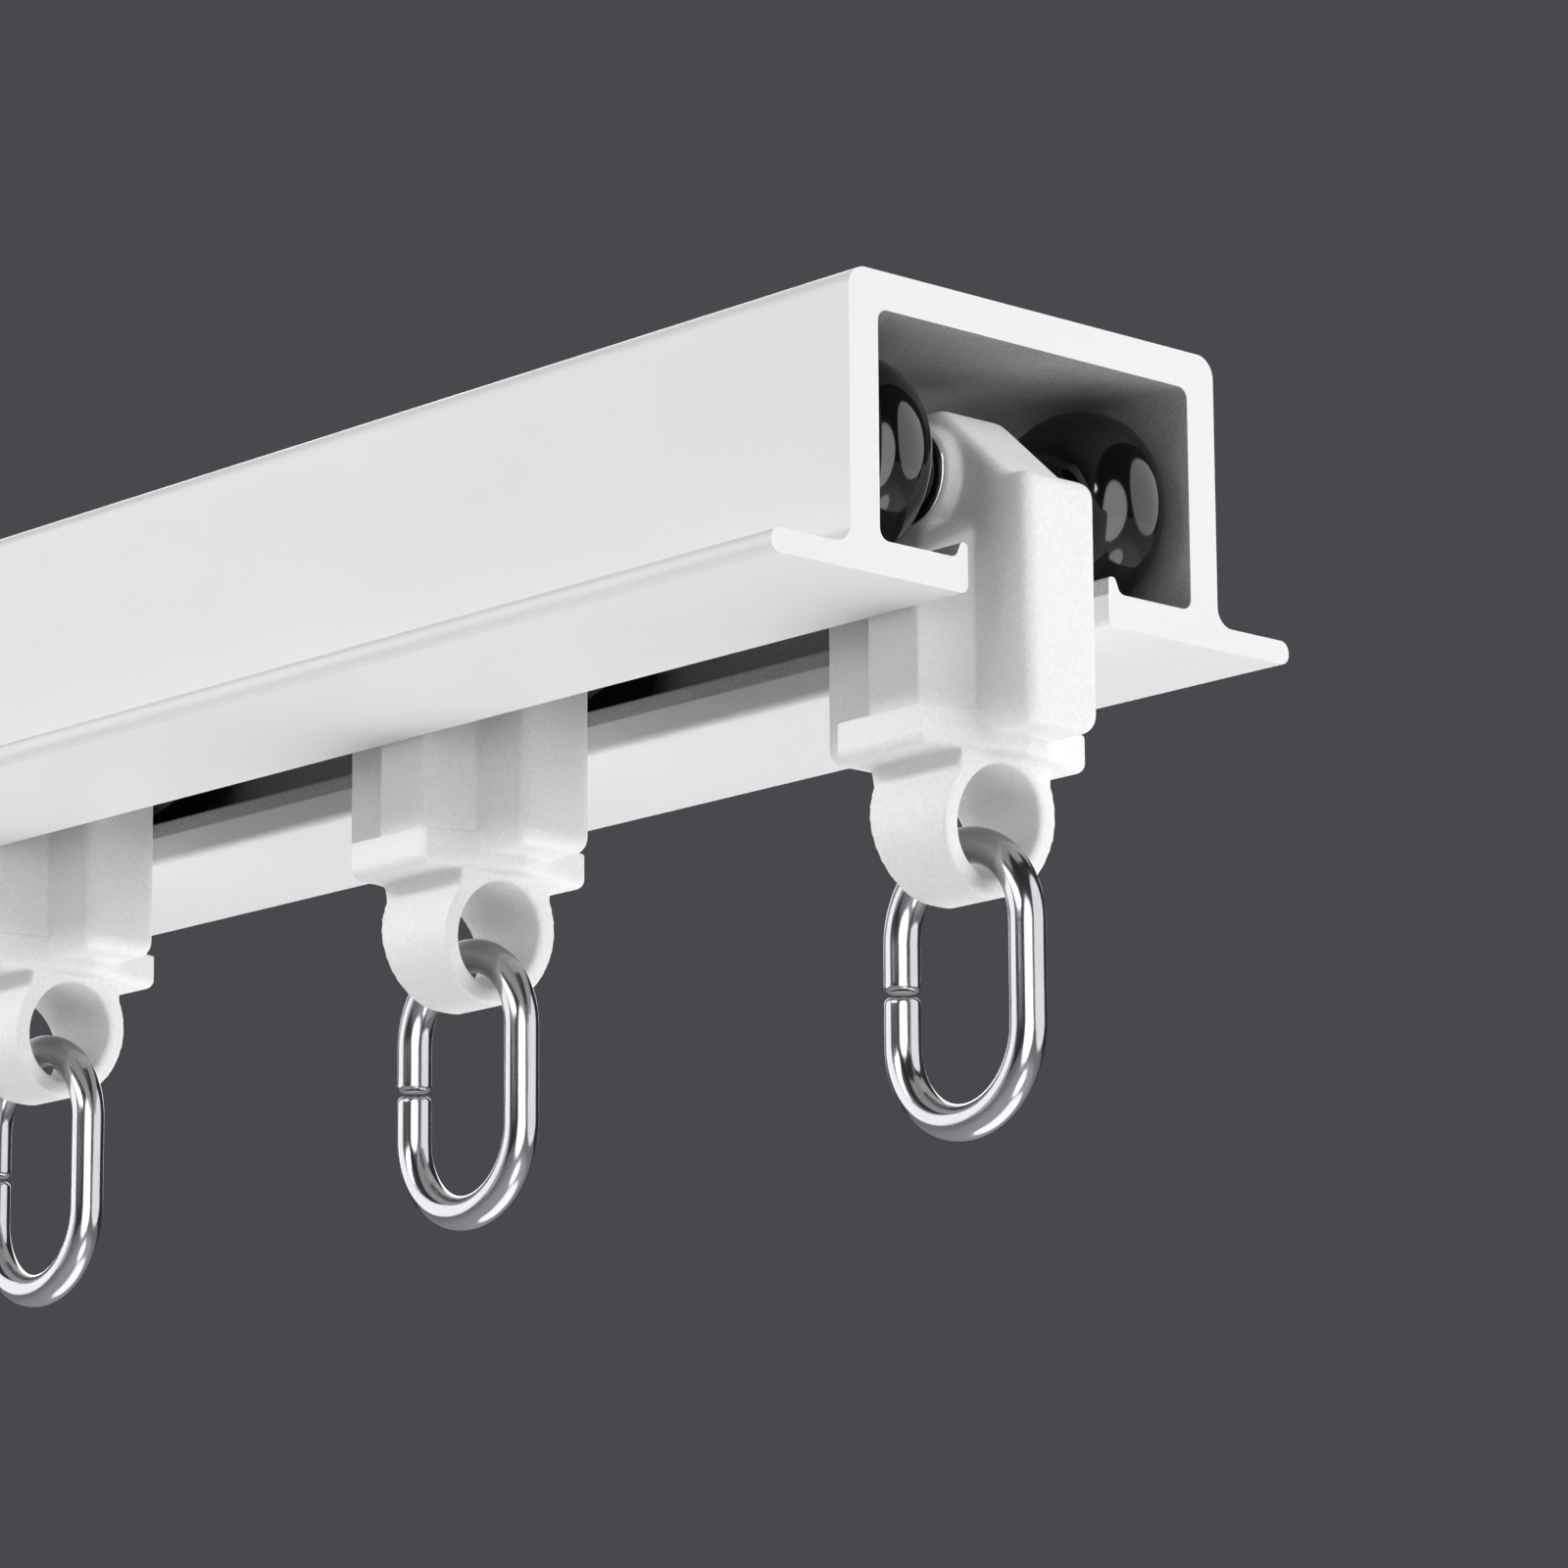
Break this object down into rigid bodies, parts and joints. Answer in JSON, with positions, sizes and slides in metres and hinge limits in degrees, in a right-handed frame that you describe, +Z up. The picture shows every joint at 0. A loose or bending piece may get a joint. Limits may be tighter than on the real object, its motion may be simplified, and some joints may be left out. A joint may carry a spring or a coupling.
{
  "type": "flexible ceiling track",
  "caption": "Ceiling curtain track: a flanged channel slotted below, with roller gliders on paired wheels, each carrying an oval steel link for the curtain.",
  "frame": {"origin": "middle of the track's top face, which lies against the ceiling", "axes": "+X along the track towards the end that the first glider stands in, +Y across, +Z up to the ceiling"},
  "size_m": [0.1517, 0.0352, 0.0403],
  "materials": {
    "track_finish": "satin",
    "body_nylon": "matte",
    "axle_steel": "satin",
    "washer_steel": "polished",
    "wheel_plastic": "gloss",
    "link_steel": "polished"
  },
  "bodies": {
    "track": {"track": "track_finish"},
    "glider_1": {"glider_body_1": "body_nylon", "axle_1": "axle_steel", "washer_left_1": "washer_steel", "washer_right_1": "washer_steel"},
    "wheel_left_1": {"wheel_left_1": "wheel_plastic"},
    "wheel_right_1": {"wheel_right_1": "wheel_plastic"},
    "link_1": {"link_1": "link_steel"},
    "glider_2": {"glider_body_2": "body_nylon", "axle_2": "axle_steel", "washer_left_2": "washer_steel", "washer_right_2": "washer_steel"},
    "wheel_left_2": {"wheel_left_2": "wheel_plastic"},
    "wheel_right_2": {"wheel_right_2": "wheel_plastic"},
    "link_2": {"link_2": "link_steel"},
    "glider_3": {"glider_body_3": "body_nylon", "axle_3": "axle_steel", "washer_left_3": "washer_steel", "washer_right_3": "washer_steel"},
    "wheel_left_3": {"wheel_left_3": "wheel_plastic"},
    "wheel_right_3": {"wheel_right_3": "wheel_plastic"},
    "link_3": {"link_3": "link_steel"}
  },
  "joints": [
    {"name": "glider_1_slide", "type": "slide", "parent": "track", "child": "glider_1", "axis": [1, 0, 0], "range_m": [-0.0219, 0.005]},
    {"name": "wheel_left_1_spin", "type": "hinge", "parent": "glider_1", "child": "wheel_left_1", "pos_m": [0.0695, 0, -0.0079], "axis": [0, 1, 0], "continuous": true},
    {"name": "wheel_right_1_spin", "type": "hinge", "parent": "glider_1", "child": "wheel_right_1", "pos_m": [0.0695, 0, -0.0079], "axis": [0, 1, 0], "continuous": true},
    {"name": "link_1_swing", "type": "hinge", "parent": "glider_1", "child": "link_1", "pos_m": [0.0695, 0, -0.0249], "axis": [1, 0, 0], "range_deg": [-70, 70]},
    {"name": "glider_2_slide", "type": "slide", "parent": "track", "child": "glider_2", "axis": [1, 0, 0], "range_m": [-0.0219, 0.0219]},
    {"name": "wheel_left_2_spin", "type": "hinge", "parent": "glider_2", "child": "wheel_left_2", "pos_m": [0.0322, 0, -0.0079], "axis": [0, 1, 0], "continuous": true},
    {"name": "wheel_right_2_spin", "type": "hinge", "parent": "glider_2", "child": "wheel_right_2", "pos_m": [0.0322, 0, -0.0079], "axis": [0, 1, 0], "continuous": true},
    {"name": "link_2_swing", "type": "hinge", "parent": "glider_2", "child": "link_2", "pos_m": [0.0322, 0, -0.0249], "axis": [1, 0, 0], "range_deg": [-70, 70]},
    {"name": "glider_3_slide", "type": "slide", "parent": "track", "child": "glider_3", "axis": [1, 0, 0], "range_m": [-0.0694, 0.0219]},
    {"name": "wheel_left_3_spin", "type": "hinge", "parent": "glider_3", "child": "wheel_left_3", "pos_m": [-0.0051, 0, -0.0079], "axis": [0, 1, 0], "continuous": true},
    {"name": "wheel_right_3_spin", "type": "hinge", "parent": "glider_3", "child": "wheel_right_3", "pos_m": [-0.0051, 0, -0.0079], "axis": [0, 1, 0], "continuous": true},
    {"name": "link_3_swing", "type": "hinge", "parent": "glider_3", "child": "link_3", "pos_m": [-0.0051, 0, -0.0249], "axis": [1, 0, 0], "range_deg": [-70, 70]}
  ],
  "couplings": [
    {"joint": "wheel_left_1_spin", "follows": "glider_1_slide", "rad_per_m": 186.92},
    {"joint": "wheel_right_1_spin", "follows": "glider_1_slide", "rad_per_m": 186.92},
    {"joint": "wheel_left_2_spin", "follows": "glider_2_slide", "rad_per_m": 186.92},
    {"joint": "wheel_right_2_spin", "follows": "glider_2_slide", "rad_per_m": 186.92},
    {"joint": "wheel_left_3_spin", "follows": "glider_3_slide", "rad_per_m": 186.92},
    {"joint": "wheel_right_3_spin", "follows": "glider_3_slide", "rad_per_m": 186.92}
  ]
}
